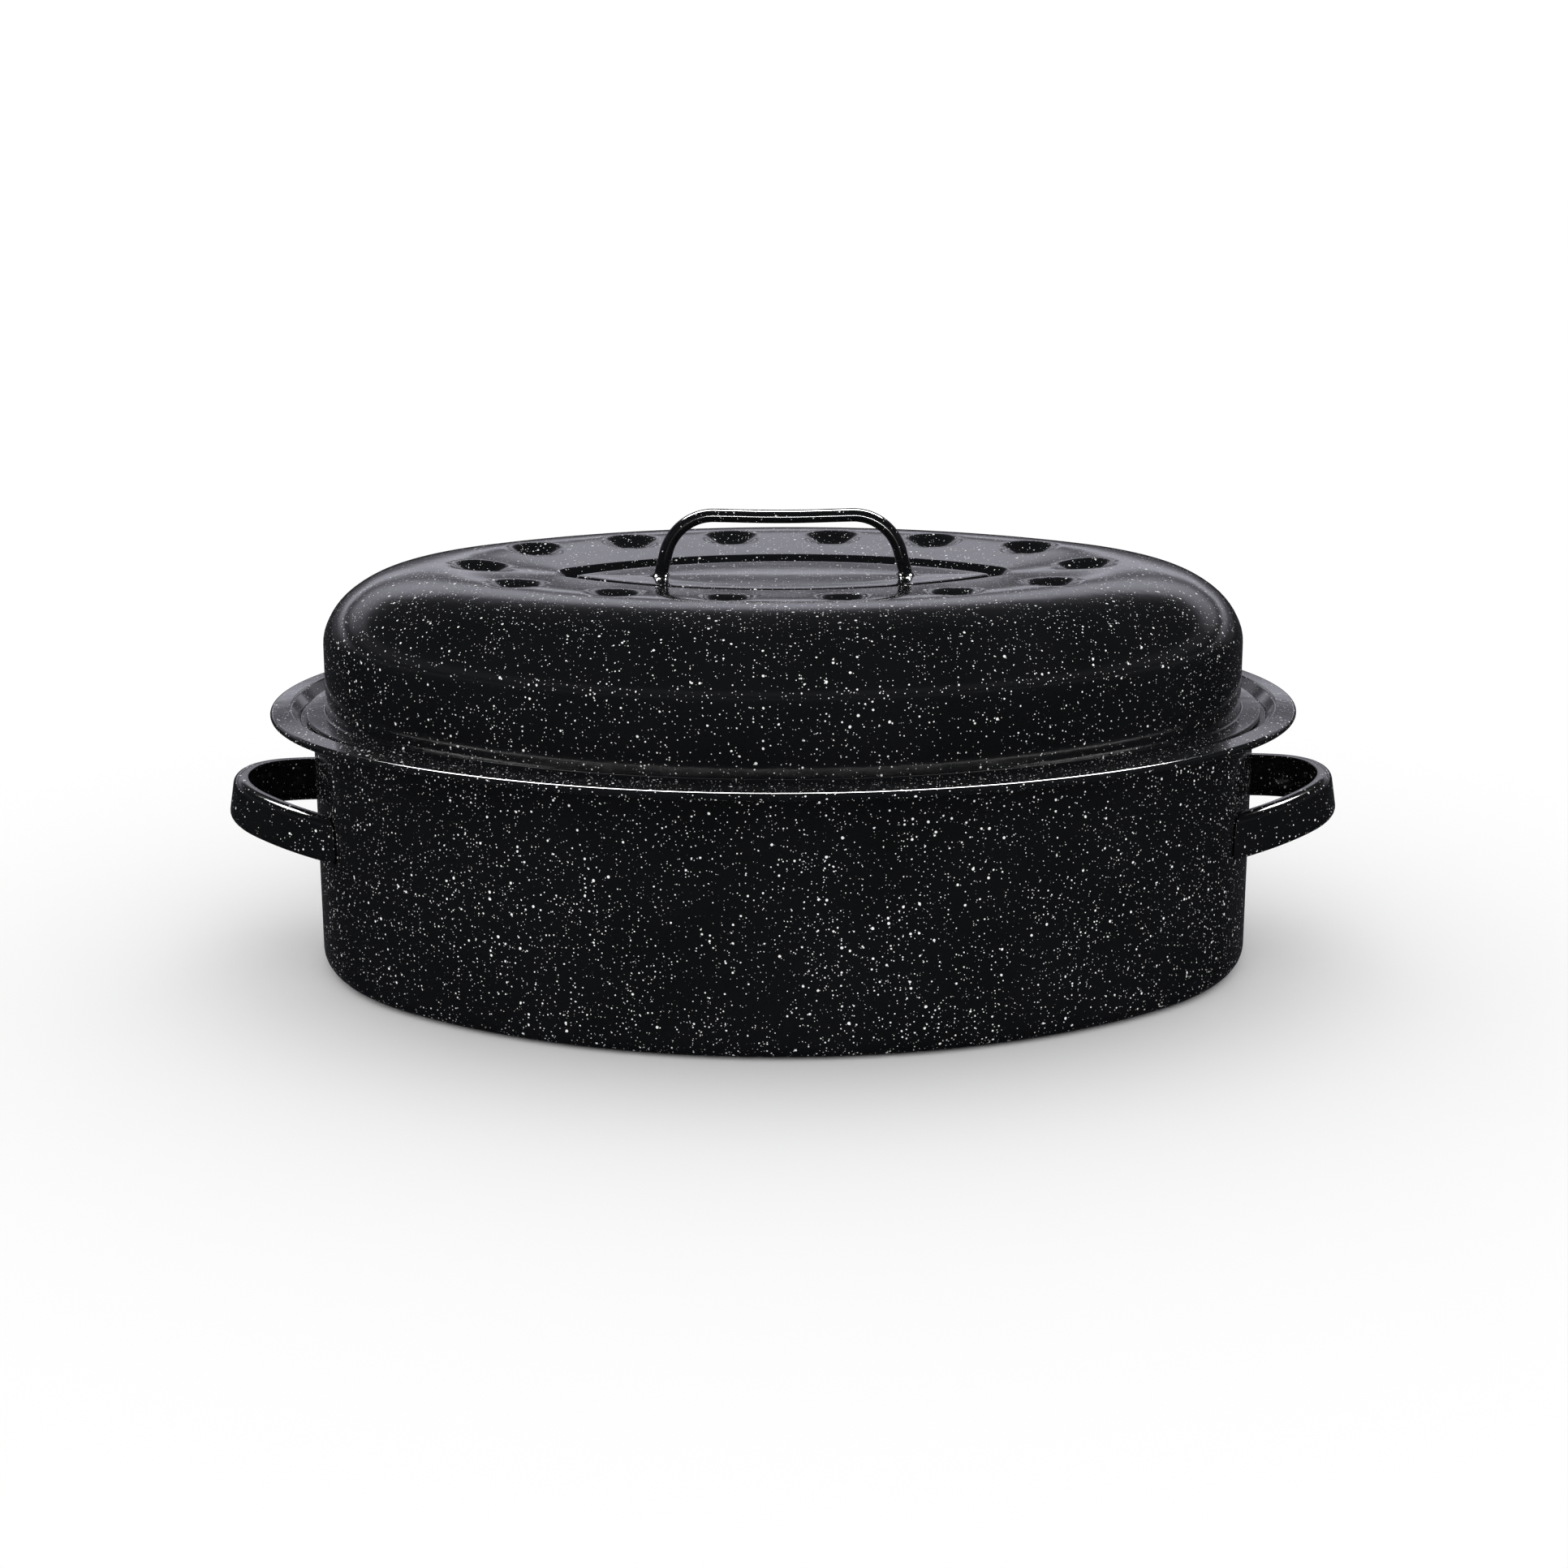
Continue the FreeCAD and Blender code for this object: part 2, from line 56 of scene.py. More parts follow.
# fineness of the meshes: points to each arc, and the widest gap between points
END_STEPS = 56
SIDE_STEPS = 144
BEND_STEPS = 7
NOSE_STEPS = 6
ROLL_STEPS = 20
BEAD_STEPS = 16
CURVE_STEPS = 30
CAP_STEPS = 8
WALL_GAP = 12.0 * MM
DOME_GAP = 1.55 * MM
NORMAL_WEIGHT = 60
LEAST_TURN = math.radians(1)

# pan section, out from the wall and up from the base
SHEET = 1.0 * MM
HEEL_RADIUS = 7.5 * MM
WALL_LEAN = 0.4 * MM
LEDGE_TOP = 109.0 * MM
LEDGE_REACH = 4.9 * MM
STEP_REACH = 8.8 * MM
RIM_TOP = 113.9 * MM
RIM_DROP = 0.7 * MM
RIM_ROLL = 1.7 * MM
SOFT_BEND = 1.5 * MM
STEP_BEND = 1.0 * MM
ROLL_TURN = math.radians(265)
BASE_START = 35.0 * MM
WALL_SKIN = 0.03 * MM
MITRE = 0.48  # how far the ledge's corners shift out, in half thicknesses of the sheet

# lid section
LID_INSET = 5.6 * MM
LID_REACH = 3.0 * MM
LID_SEAT = 109.3 * MM
LID_BEAD = 1.3 * MM
LID_NECK = 1.6 * MM
SHOULDER_BASE = 140.5 * MM
SHOULDER_REACH = 42.6 * MM
SHOULDER_RISE = 29.9 * MM
SHOULDER_STOP = math.radians(20)
CREST_RADIUS = 105.0 * MM
CREST_BEND_END = 69.4 * MM
CREST_BEND_TOP = 171.3 * MM
RECESS_EDGE = 104.5 * MM
RECESS_EDGE_TOP = 168.0 * MM
RECESS_RUN = 3.5 * MM
RECESS_DEPTH = 3.6 * MM
RECESS_BEND = 1.8 * MM
GROOVE_WIDTH = 3.5 * MM
GROOVE_BEND = 1.4 * MM
PANEL_RISE_RUN = 3.0 * MM
PANEL_TOP = 166.7 * MM
PANEL_CROWN = 0.3 * MM
PANEL_TURN = 1.8 * MM
PANEL_LIFT = 0.1 * MM
DOME_BLEND = 9.0 * MM
DOME_JOIN = 3  # number of the dome's point where the bend into the recess ends

# dimples on the lid crest: a row along each side on a long arc, and one at each end
DIMPLE_ROW_RADIUS = 201.3 * MM
DIMPLE_ROW_REACH = 75.5 * MM
DIMPLE_STEP = math.radians(13.13)
DIMPLES_PER_SIDE = 6
DIMPLE_END_REACH = 128.9 * MM
DIMPLE_RADIUS = 12.8 * MM
DIMPLE_DEPTH = 4.4 * MM
DIMPLE_FLOOR = 2.6  # power that sets how flat the bowl's floor is
DIMPLE_LIP = 1.7  # power that sets how soft its lip is

# lid handle
ROD_RADIUS = 2.875 * MM
ROD_BEND = 21.0 * MM
ROD_FOOT = 52.3 * MM
ROD_LEAN = math.radians(14.5)
ROD_DIP = 0.7 * MM
ROD_SUNK = 0.4  # depth of the foot's end in the panel, in rod radii
ROD_SIDES = 28
ROD_TOP_STEPS = 16
ROD_BEND_STEPS = 24
ROD_LEG_STEPS = 14
WELD_REACH = 4.6 * MM
WELD_RISE = 2.2 * MM
WELD_SUNK = 0.3 * MM
WELD_FLARE = 2.2  # power that sets how hollow the fillet is
WELD_TIGHT = 0.98  # reach of the fillet's top, in rod radii
WELD_WAVES = ((3, 0.10), (5, 0.06))  # waves round the foot, and their share of the flare
WELD_SIDES = 32
WELD_LEVELS = 7

# side handles
STRAP_SHEET = 1.2 * MM
STRAP_HEIGHT = 19.2 * MM
STRAP_LIP = 5.5 * MM
STRAP_EDGE = 3.8 * MM
STRAP_ROOT = 187.0 * MM
STRAP_ROOT_HEIGHT = 64.0 * MM
STRAP_TILT = math.radians(9.3)
STRAP_LOOP = 52.5 * MM
STRAP_TIP_RADIUS = 47.0 * MM
STRAP_TIP_ANGLE = math.radians(45.4)
STRAP_LEG_RADIUS = 100.0 * MM
STRAP_LEG_END = math.radians(78.0)
STRAP_STEPS = 44
STRAP_SUNK = 0.2 * MM
STRAP_REACHED = 0.4  # share of the strap that is sure to be clear of the wall
HALVINGS = 24
FOOT_INNER = 39.0 * MM
FOOT_OUTER = 56.0 * MM
FOOT_BOTTOM = 57.6 * MM
FOOT_HEIGHT = 14.0 * MM
FOOT_CORNER = 3.0 * MM
FOOT_TRIM = 0.5 * MM
FOOT_LEAN = 0.4  # share of the wall's lean at the height of the feet
# rings of a foot and of a spot weld: (size, how far out)
FOOT_LEVELS = ((1.0, -0.2 * MM), (1.0, STRAP_SHEET - 0.45 * MM), (0.985, STRAP_SHEET - 0.13 * MM),
               (0.95, STRAP_SHEET), (0.6, STRAP_SHEET), (0.25, STRAP_SHEET))
SPOT_RADIUS = 2.5 * MM
SPOT_PROUD = 0.4 * MM
SPOT_OFFSET = 45.0 * MM
SPOT_SPACING = 7.0 * MM
SPOT_SUNK = 0.1 * MM
SPOT_SIDES = 20
SPOT_LEVELS = ((1.0, -0.3), (1.0, 0.0), (0.9, 0.55), (0.7, 0.85), (0.4, 1.0))

# enamel: flecks as (cell, largest radius, share of the cells), then colours and gloss
FLECK_SIZES = ((3.0 * MM, 0.63 * MM, 0.60), (1.6 * MM, 0.38 * MM, 0.62),
               (1.15 * MM, 0.25 * MM, 0.85))
FLECK_EDGE = 0.05 * MM
FLECK_WAVER = 1.1 * MM
FLECK_SHIFT = 0.35 * MM
FLECK_HEIGHT = 0.25
CROWDING_SIZE = 26.0 * MM
CROWDING = 0.45
CLOUD_SIZE = 40.0 * MM
BLACK = (0.0038, 0.0043, 0.0042, 1)
BLUE_BLACK = (0.0075, 0.0080, 0.0095, 1)
FLECK_WHITE = (0.98, 0.98, 0.97, 1)
GLOSS_SIZE = 12.0 * MM
GLOSSY, DULLER = 0.07, 0.15
PEEL_SIZE = 7.0 * MM
PEEL_STRENGTH = 0.35
PEEL_HEIGHT = 0.12 * MM
GLASS_IOR = 1.5
PAN_DENSITY, LID_DENSITY, ROD_DENSITY, STRAP_DENSITY = 1.0, 0.85, 0.35, 0.7

# studio: gloss levels up the backdrop as (upward part of the direction, level)
BAND_LEVELS = ((0.01, 0.10), (0.09, 0.18), (0.14, 0.75), (0.175, 1.10), (0.20, 0.22), (0.24, 0.20),
               (0.29, 0.85), (0.34, 1.0), (0.40, 0.90), (0.45, 0.20), (0.54, 0.05))
BAND_TINT = (0.98, 0.97, 1.10)  # a little towards blue
BELOW_BAND = (0.03, 0.03, 0.035, 1)
ABOVE_BAND = (0.04, 0.04, 0.045, 1)
BEHIND_START, BEHIND_FULL = 0.50, 0.94
BEHIND_LEAST = 0.12
BACKDROP = (1.07, 1.07, 1.07, 1)
FLOOR_REACH = 14.0
FLOOR_WHITE = (0.95, 0.95, 0.95, 1)
FLOOR_ROUGHNESS = 0.9
TOP_STRIP = {"place": (0, 0.5, 1.6), "aim": (0, 0, 0.1), "width": 2.4, "height": 0.42,
             "power": 290}
LOW_STRIP = {"place": (0.1, -1.9, 0.12), "aim": (0, 0, 0.19), "width": 0.40, "height": 0.10,
             "power": 14}

# camera
VIEW_DISTANCE = 1.200
VIEW_HEIGHT = math.radians(14.31)
VIEW_TURN = math.radians(-0.6)
VIEW_ROLL = math.radians(-0.1)
AIM_ACROSS = 0.15 * MM
AIM_HEIGHT = 74.45 * MM
LENS = 63.35
SENSOR = 36.0
FAR_CLIP = 100


class Oval:
    """Oval of four tangent arcs and its parallel offsets."""

    def __init__(self, half_length, half_width, end_radius):
        self.end = end_radius
        self.centre_x = half_length - end_radius
        self.side = ((self.centre_x ** 2 + half_width ** 2 - end_radius ** 2)
                     / (2 * (half_width - end_radius)))
        self.centre_y = half_width - self.side
        self.corner = math.atan2(-self.centre_y, self.centre_x)

    def directions(self):
        """Angle of the outward normal at each step round the oval."""
        spans = [(-self.corner, self.corner, END_STEPS),
                 (self.corner, math.pi - self.corner, SIDE_STEPS),
                 (math.pi - self.corner, math.pi + self.corner, END_STEPS),
                 (math.pi + self.corner, 2 * math.pi - self.corner, SIDE_STEPS)]
        return [first + (last - first) * step / steps
                for first, last, steps in spans for step in range(steps)]

    def point(self, angle, offset):
        """Plan position on the offset oval where its outward normal has this angle."""
        turn = (angle + self.corner) % (2 * math.pi)
        if turn < 2 * self.corner:
            centre, radius = (self.centre_x, 0), self.end
        elif turn < math.pi:
            centre, radius = (0, self.centre_y), self.side
        elif turn < math.pi + 2 * self.corner:
            centre, radius = (-self.centre_x, 0), self.end
        else:
            centre, radius = (0, -self.centre_y), self.side
        reach = radius + offset
        return centre[0] + reach * math.cos(angle), centre[1] + reach * math.sin(angle)

    def offset(self, x, y):
        """Offset of the parallel oval through a plan position."""
        x, y = abs(x), abs(y)
        angle = math.atan2(y, x - self.centre_x)
        if angle < self.corner:
            return math.hypot(x - self.centre_x, y) - self.end
        return math.hypot(x, y - self.centre_y) - self.side


pan_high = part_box("pan_shell")[1]
wall_oval = Oval(pan_high.x - RIM_REACH, pan_high.y - RIM_REACH, END_RADIUS)


# sections

def rounded(corners, steps=BEND_STEPS):
    """Polyline through (across, up, bend radius) corners, each corner rounded by an arc."""
    line = [Vector(corners[0][:2])]
    for before, corner, after in zip(corners, corners[1:], corners[2:]):
        point = Vector(corner[:2])
        back = (Vector(before[:2]) - point).normalized()
        ahead = (Vector(after[:2]) - point).normalized()
        turn = math.pi - back.angle(ahead)
        if corner[2] <= 0 or turn < LEAST_TURN:
            line.append(point)
            continue
        reach = corner[2] * math.tan(turn / 2)
        inward = (back + ahead).normalized()
        centre = point + inward * (corner[2] / math.cos(turn / 2))
        first, last = point + back * reach - centre, point + ahead * reach - centre
        for step in range(steps + 1):
            share = step / steps
            mixed = (first * math.sin((1 - share) * turn) + last * math.sin(share * turn))
            line.append(centre + mixed / math.sin(turn))
    line.append(Vector(corners[-1][:2]))
    return line


def arc(centre, radius, first, last, steps):
    """Points of an arc in the section plane."""
    return [Vector((centre[0] + radius * math.cos(first + (last - first) * step / steps),
                    centre[1] + radius * math.sin(first + (last - first) * step / steps)))
            for step in range(steps + 1)]


def spaced(line, gap):
    """The same line with points no further apart than gap."""
    result = [line[0]]
    for before, after in zip(line, line[1:]):
        count = max(1, math.ceil((after - before).length / gap))
        result += [before.lerp(after, step / count) for step in range(1, count + 1)]
    return result


def softened(line, reach):
    """The same line with its small kinks averaged out over a reach; the ends stay put."""
    result = []
    for index, point in enumerate(line):
        near = min(reach, (point - line[0]).length, (point - line[-1]).length)
        total, weight = Vector((0, 0)), 0
        for other in line:
            gap = (other - point).length
            if near > 0 and gap < near:
                share = 1 - (gap / near) ** 2
                total, weight = total + other * share, weight + share
        result.append(total / weight if weight else point)
    return result


def thickened(line, thickness):
    """Outer face, rounded free edge and inner face of a bent sheet round its middle line."""
    normals = []
    for index in range(len(line)):
        along = line[min(index + 1, len(line) - 1)] - line[max(index - 1, 0)]
        normals.append(Vector((along.y, -along.x)).normalized())
    half = thickness / 2
    outside = [point + normal * half for point, normal in zip(line, normals)]
    inside = [point - normal * half for point, normal in zip(line, normals)]
    edge = math.atan2(normals[-1].y, normals[-1].x)
    nose = arc(line[-1], half, edge, edge + math.pi, NOSE_STEPS)[1:-1]
    return outside, nose, inside


# meshes

def make_object(name, points, faces, material):
    """Smooth-shaded object in one material, with evened normals."""
    mesh = bpy.data.meshes.new(name)
    mesh.from_pydata(points, [], faces)
    mesh.validate()
    mesh.shade_smooth()
    mesh.materials.append(material)
    piece = bpy.data.objects.new(name, mesh)
    bpy.context.scene.collection.objects.link(piece)
    even = piece.modifiers.new("even_normals", "WEIGHTED_NORMAL")
    even.weight = NORMAL_WEIGHT
    return piece


def turned_shell(name, section, middle_top, middle_bottom, material, raise_by=None):
    """Carry a section round the oval and close it at the middle with two shrinking fans.

    The section runs from the middle outwards on the outer face and back inwards on the inner
    face; middle_top and middle_bottom are the heights of the two faces at the very middle.
    """
    angles = wall_oval.directions()
    count = len(angles)
    rings = []
    for spot in section:
        rings.append([wall_oval.point(angle, spot.x) + (spot.y,) for angle in angles])
    rings = shrinking(rings[0], middle_top)[::-1] + rings + shrinking(rings[-1], middle_bottom)
    points = [Vector(p) for ring in rings for p in ring]
    if raise_by:
        for point in points:
            point.z += raise_by(point)
    faces = []
    for row in range(len(rings) - 1):
        for step in range(count):
            after = (step + 1) % count
            faces.append((row * count + step, (row + 1) * count + step,
                          (row + 1) * count + after, row * count + after))
    first, last = len(points), len(points) + 1
    points += [Vector((0, 0, middle_top)), Vector((0, 0, middle_bottom))]
    end = (len(rings) - 1) * count
    for step in range(count):
        after = (step + 1) % count
        faces.append((first, step, after))
        faces.append((last, end + after, end + step))
    return make_object(name, points, faces, material)


def shrinking(ring, middle_height, steps=CAP_STEPS):
    """Rings that shrink from a given ring towards the middle, crowned to a given height."""
    rings = []
    for step in range(1, steps):
        size = 1 - step / steps
        rings.append([(x * size, y * size, middle_height + (z - middle_height) * size * size)
                      for x, y, z in ring])
    return rings


def skin(count, levels, start=0, outward=True):
    """Faces over equal closed rings of count points, one level apart, closed at both ends."""
    faces = []
    for level in range(levels):
        near, far = start + level * count, start + (level + 1) * count
        for step in range(count):
            after = (step + 1) % count
            faces.append((near + step, near + after, far + after, far + step))
    faces.append(tuple(start + step for step in range(count))[::-1])
    faces.append(tuple(start + levels * count + step for step in range(count)))
    return faces if outward else [face[::-1] for face in faces]


def swept(name, rows, material):
    """Object skinned over a list of equal closed rows of points."""
    points = [point for row in rows for point in row]
    return make_object(name, points, skin(len(rows[0]), len(rows) - 1), material)


# pan

def pan_line():
    """Middle line of the pan sheet, from the base out to the rolled rim."""
    half = SHEET / 2
    roll_middle = RIM_ROLL - half
    roll_centre = (RIM_REACH - RIM_ROLL, RIM_TOP - RIM_DROP - RIM_ROLL)
    mitre = MITRE * half
    line = rounded([
        (-BASE_START, half, 0),
        (-WALL_LEAN - half - WALL_SKIN, half, HEEL_RADIUS),
        (-half, LEDGE_TOP - half, SOFT_BEND),
        (LEDGE_REACH + mitre, LEDGE_TOP - half, STEP_BEND),
        (STEP_REACH + mitre, RIM_TOP - half, STEP_BEND),
        (roll_centre[0], roll_centre[1] + roll_middle, 0),
    ])
    roll = arc(roll_centre, roll_middle, math.pi / 2, math.pi / 2 - ROLL_TURN, ROLL_STEPS)
    return line + roll[1:]


def make_pan(material):
    outside, nose, inside = thickened(pan_line(), SHEET)
    section = spaced(outside, WALL_GAP) + nose + spaced(inside[::-1], WALL_GAP)
    return turned_shell("pan_enamel", section, 0.0, SHEET, material)


# lid

def lid_line():
    """Middle line of the lid sheet, from its panel out to the bead it rests on."""
    half = SHEET / 2
    shoulder_centre = (-LID_INSET - SHOULDER_REACH, SHOULDER_BASE)
    shoulder = [Vector((shoulder_centre[0] + (SHOULDER_REACH - half) * math.sin(turn),
                        shoulder_centre[1] + (SHOULDER_RISE - half) * math.cos(turn)))
                for turn in (SHOULDER_STOP + (math.pi / 2 - SHOULDER_STOP) * step / CURVE_STEPS
                             for step in range(CURVE_STEPS + 1))]
    crest_start = Vector((-RECESS_EDGE, RECESS_EDGE_TOP - half))
    crest_bend = Vector((-CREST_BEND_END, CREST_BEND_TOP - half))
    chord = shoulder[0] - crest_bend
    bow = CREST_RADIUS - math.sqrt(CREST_RADIUS ** 2 - (chord.length / 2) ** 2)
    crest = [crest_bend + chord * share + Vector((0, 4 * bow * share * (1 - share)))
             for share in (step / CURVE_STEPS for step in range(CURVE_STEPS + 1))]
    dome = softened(spaced([crest_start] + crest + shoulder[1:], DOME_GAP), DOME_BLEND)
    groove_edge = -RECESS_EDGE - RECESS_RUN - GROOVE_WIDTH
    groove = RECESS_EDGE_TOP - RECESS_DEPTH - half
    recess = rounded([
        (groove_edge - PANEL_RISE_RUN - PANEL_TURN, PANEL_TOP - half + PANEL_LIFT, 0),
        (groove_edge - PANEL_RISE_RUN, PANEL_TOP - half, GROOVE_BEND),
        (groove_edge, groove, GROOVE_BEND),
        (groove_edge + GROOVE_WIDTH, groove, GROOVE_BEND),
        (crest_start.x, crest_start.y, RECESS_BEND),
        (dome[DOME_JOIN].x, dome[DOME_JOIN].y, 0),
    ])
    bead_centre = (LID_REACH - LID_BEAD, LID_SEAT + LID_BEAD)
    bead_middle = LID_BEAD - half
    neck = rounded([
        (-LID_INSET - half, SHOULDER_BASE, 0),
        (-LID_INSET - half, bead_centre[1] + bead_middle, LID_NECK),
        (bead_centre[0], bead_centre[1] + bead_middle, 0),
    ])
    bead = arc(bead_centre, bead_middle, math.pi / 2, math.pi / 2 - ROLL_TURN, BEAD_STEPS)
    return recess + dome[DOME_JOIN + 1:] + neck[1:] + bead[1:]


def dimple_centres():
    """Plan positions of the dimples: six along each side and one at each end."""
    centre = DIMPLE_ROW_REACH - DIMPLE_ROW_RADIUS
    places = []
    for side in (1, -1):
        for number in range(DIMPLES_PER_SIDE):
            turn = (number - (DIMPLES_PER_SIDE - 1) / 2) * DIMPLE_STEP
            places.append(Vector((DIMPLE_ROW_RADIUS * math.sin(turn),
                                  side * (centre + DIMPLE_ROW_RADIUS * math.cos(turn)))))
        places.append(Vector((side * DIMPLE_END_REACH, 0)))
    return places


def press_dimples(places):
    """How far the sheet is raised at a point; a dimple is a smooth bowl with a rounded lip."""
    def raised(point):
        if point.z < SHOULDER_BASE:
            return 0
        total = 0
        for place in places:
            gap = math.hypot(point.x - place.x, point.y - place.y) / DIMPLE_RADIUS
            if gap < 1:
                total -= DIMPLE_DEPTH * (1 - gap ** DIMPLE_FLOOR) ** DIMPLE_LIP
        return total
    return raised


def make_lid(material):
    outside, nose, inside = thickened(lid_line(), SHEET)
    # the hidden inner face keeps every other point and its last one
    inside = inside[::2] + inside[-1:] if len(inside) % 2 == 0 else inside[::2]
    section = outside + nose + inside[::-1]
    top = PANEL_TOP + PANEL_CROWN
    return turned_shell("lid_enamel", section, top, top - SHEET, material,
                        raise_by=press_dimples(dimple_centres()))


# lid handle

def rod_path():
    """Middle line of the bent rod, foot to foot, in the XZ plane."""
    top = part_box("lid_handle")[1].z - ROD_RADIUS
    drop = top - ROD_BEND * (1 - math.sin(ROD_LEAN))
    knee = ROD_FOOT - (drop - PANEL_TOP) * math.tan(ROD_LEAN)
    bend_x = knee - ROD_BEND * math.cos(ROD_LEAN)
    low = PANEL_TOP - ROD_RADIUS * ROD_SUNK
    foot = Vector((ROD_FOOT + (PANEL_TOP - low) * math.tan(ROD_LEAN), low))
    half = [Vector((bend_x * step / ROD_TOP_STEPS, top)) for step in range(ROD_TOP_STEPS)]
    half += arc((bend_x, top - ROD_BEND), ROD_BEND, math.pi / 2, ROD_LEAN, ROD_BEND_STEPS)
    half += [half[-1].lerp(foot, step / ROD_LEG_STEPS) for step in range(1, ROD_LEG_STEPS + 1)]
    reach = bend_x + ROD_BEND / 2
    for point in half:
        if point.x < reach:
            point.y -= ROD_DIP / 2 * (1 + math.cos(math.pi * point.x / reach))
    return [Vector((-p.x, p.y)) for p in half[:0:-1]] + half


def make_rod(material):
    path = rod_path()
    rows = []
    for index, point in enumerate(path):
        along = (path[min(index + 1, len(path) - 1)] - path[max(index - 1, 0)]).normalized()
        up = Vector((-along.y, 0, along.x))
        side = Vector((0, 1, 0))
        rows.append([Vector((point.x, 0, point.y))
                     + (up * math.cos(turn) - side * math.sin(turn)) * ROD_RADIUS
                     for turn in (2 * math.pi * step / ROD_SIDES for step in range(ROD_SIDES))])
    return swept("lid_handle_rod", rows, material)


def weld_wander(turn, side):
    """Unevenness of a weld bead's edge round its foot."""
    (broad, broad_share), (narrow, narrow_share) = WELD_WAVES
    return (1 + broad_share * math.sin(broad * turn + side)
            + narrow_share * math.sin(narrow * turn))


def make_rod_welds(material):
    """Fillet of weld metal round each foot: concave, a little uneven."""
    points, faces = [], []
    steps, levels = WELD_SIDES, WELD_LEVELS
    for side in (-1, 1):
        start = len(points)
        for level in range(levels + 1):
            share = level / levels
            height = PANEL_TOP - WELD_SUNK + (WELD_RISE + WELD_SUNK) * share
            flare = (WELD_REACH - ROD_RADIUS) * (1 - share) ** WELD_FLARE
            lean = side * (ROD_FOOT - (height - PANEL_TOP) * math.tan(ROD_LEAN))
            for step in range(steps):
                turn = 2 * math.pi * step / steps
                reach = ROD_RADIUS * WELD_TIGHT + flare * weld_wander(turn, side)
                points.append((lean + reach * math.cos(turn), reach * math.sin(turn), height))
        faces += skin(steps, levels, start)
    return make_object("lid_handle_weld_beads", points, faces, material)


# side handles

def strap_section():
    """Closed C section: (outwards from the strap's outer face, up from its middle)."""
    half = STRAP_HEIGHT / 2
    middle = STRAP_SHEET / 2
    line = rounded([
        (-STRAP_LIP, -half + middle, 0),
        (-middle, -half + middle, STRAP_EDGE - middle),
        (-middle, 0, 0),
        (-middle, half - middle, STRAP_EDGE - middle),
        (-STRAP_LIP, half - middle, 0),
    ], steps=NOSE_STEPS)
    outside, nose, inside = thickened(line, STRAP_SHEET)
    return outside + nose + inside[::-1] + start_nose(line, STRAP_SHEET)


def start_nose(line, thickness):
    """Rounded edge that closes a bent sheet's section at the start of its line."""
    along = line[0] - line[1]
    edge = math.atan2(along.y, along.x) - math.pi / 2
    return arc(line[0], thickness / 2, edge, edge + math.pi, NOSE_STEPS)[1:-1]


def strap_frame(share):
    """Point and outward direction of the strap's outer face; share runs 0 at the tip to 1."""
    bend_x = STRAP_LOOP - STRAP_TIP_RADIUS * (1 - math.cos(STRAP_TIP_ANGLE))
    bend_y = STRAP_TIP_RADIUS * math.sin(STRAP_TIP_ANGLE)
    tip_length = STRAP_TIP_RADIUS * STRAP_TIP_ANGLE
    leg_length = STRAP_LEG_RADIUS * (STRAP_LEG_END - STRAP_TIP_ANGLE)
    run = share * (tip_length + leg_length)
    if run < tip_length:
        turn = run / STRAP_TIP_RADIUS
        centre = (STRAP_LOOP - STRAP_TIP_RADIUS, 0)
        radius = STRAP_TIP_RADIUS
    else:
        turn = STRAP_TIP_ANGLE + (run - tip_length) / STRAP_LEG_RADIUS
        centre = (bend_x - STRAP_LEG_RADIUS * math.cos(STRAP_TIP_ANGLE),
                  bend_y - STRAP_LEG_RADIUS * math.sin(STRAP_TIP_ANGLE))
        radius = STRAP_LEG_RADIUS
    outward = Vector((math.cos(turn), math.sin(turn), 0))
    return Vector(centre + (0,)) + outward * radius, outward


def strap_point(share, spot):
    """Place of one section point a share of the way from the tip to the strap's end."""
    point, outward = strap_frame(share)
    local = point + outward * spot.x + Vector((0, 0, spot.y))
    local = Matrix.Rotation(-STRAP_TILT, 3, "Y") @ local
    return local + Vector((STRAP_ROOT, 0, STRAP_ROOT_HEIGHT))


def meets_wall(spot):
    """Share of the way along the strap at which one section point reaches the pan wall."""
    low, high = STRAP_REACHED, 1.0
    for _ in range(HALVINGS):
        middle = (low + high) / 2
        place = strap_point(middle, spot)
        if wall_oval.offset(place.x, place.y) > -STRAP_SUNK:
            low = middle
        else:
            high = middle
    return low


def make_strap(name, side, material):
    """Channel strap of one side handle, swept from wall to wall; side is +1 for +X."""
    section = strap_section()
    ends = [meets_wall(spot) for spot in section]
    half_rows = [[strap_point(end * step / STRAP_STEPS, spot) for end, spot in zip(ends, section)]
                 for step in range(STRAP_STEPS + 1)]
    rows = [[Vector((p.x, -p.y, p.z)) for p in row] for row in half_rows[:0:-1]] + half_rows
    rows = [[Vector((side * p.x, p.y, p.z)) for p in row] for row in rows]
    if side < 0:
        rows = rows[::-1]
    return swept(name, rows, material)


